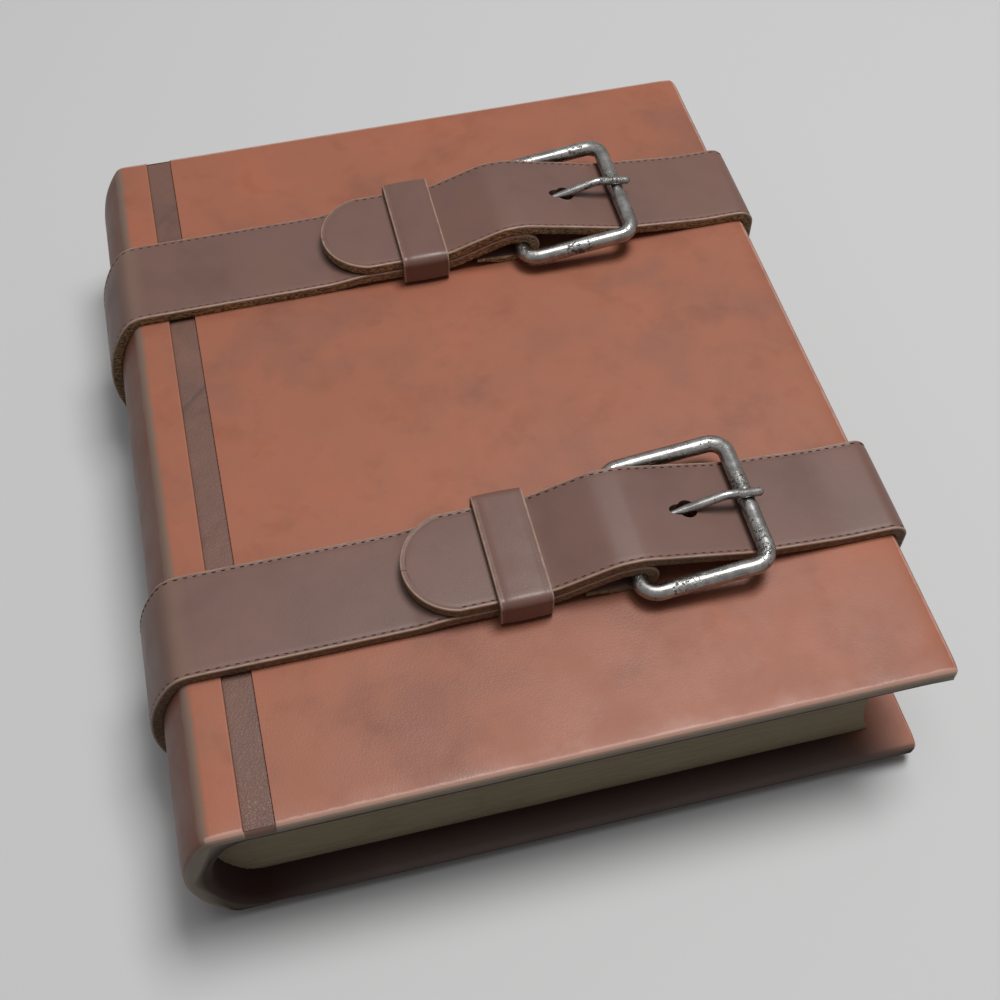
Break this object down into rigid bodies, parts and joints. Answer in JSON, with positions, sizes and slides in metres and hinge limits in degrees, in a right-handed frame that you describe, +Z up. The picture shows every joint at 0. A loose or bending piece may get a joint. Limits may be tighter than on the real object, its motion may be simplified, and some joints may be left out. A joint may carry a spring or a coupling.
{
  "type": "leather-bound book with buckled straps",
  "caption": "Old thick leather-covered book with a rounded spine, held shut by leather straps with steel wire buckles and sliding keepers.",
  "frame": {"origin": "under the middle of the book, on the surface that its straps rest on", "axes": "+Z up out of the front cover, -X towards the spine, +X towards the fore-edge, -Y towards the tail of the pages, +Y towards their head"},
  "size_m": [0.2048, 0.236, 0.0661],
  "materials": {
    "cover": "worn satin red-brown leather",
    "joint_leather": "dull dark leather",
    "pages": null,
    "strap": "satin dark brown strap leather",
    "keeper": "satin dark brown leather with worn edges",
    "steel": "worn bright steel with dark pitting"
  },
  "bodies": {
    "root": {"cover_case": "cover", "front_joint_strip": "joint_leather", "back_joint_strip": "joint_leather", "page_block": "pages", "tail_strap": "strap", "head_strap": "strap"},
    "tail_frame": {"tail_buckle_frame": "steel"},
    "tail_tongue": {"tail_prong": "steel"},
    "tail_loop": {"tail_keeper": "keeper"},
    "head_frame": {"head_buckle_frame": "steel"},
    "head_tongue": {"head_prong": "steel"},
    "head_loop": {"head_keeper": "keeper"}
  },
  "joints": [
    {"name": "tail_frame_hinge", "type": "hinge", "parent": "root", "child": "tail_frame", "pos_m": [0.0272, -0.0609, 0.05703], "axis": [0, -1, 0], "range_deg": [0, 2]},
    {"name": "tail_prong_hinge", "type": "hinge", "parent": "tail_frame", "child": "tail_tongue", "pos_m": [0.0272, -0.0609, 0.05703], "axis": [0, -1, 0], "range_deg": [0, 2]},
    {"name": "tail_keeper_slide", "type": "slide", "parent": "root", "child": "tail_loop", "axis": [1, 0, 0], "range_m": [-0.012, 0.0008]},
    {"name": "head_frame_hinge", "type": "hinge", "parent": "root", "child": "head_frame", "pos_m": [0.0272, 0.0609, 0.05703], "axis": [0, -1, 0], "range_deg": [0, 2]},
    {"name": "head_prong_hinge", "type": "hinge", "parent": "head_frame", "child": "head_tongue", "pos_m": [0.0272, 0.0609, 0.05703], "axis": [0, -1, 0], "range_deg": [0, 2]},
    {"name": "head_keeper_slide", "type": "slide", "parent": "root", "child": "head_loop", "axis": [1, 0, 0], "range_m": [-0.012, 0.0008]}
  ]
}
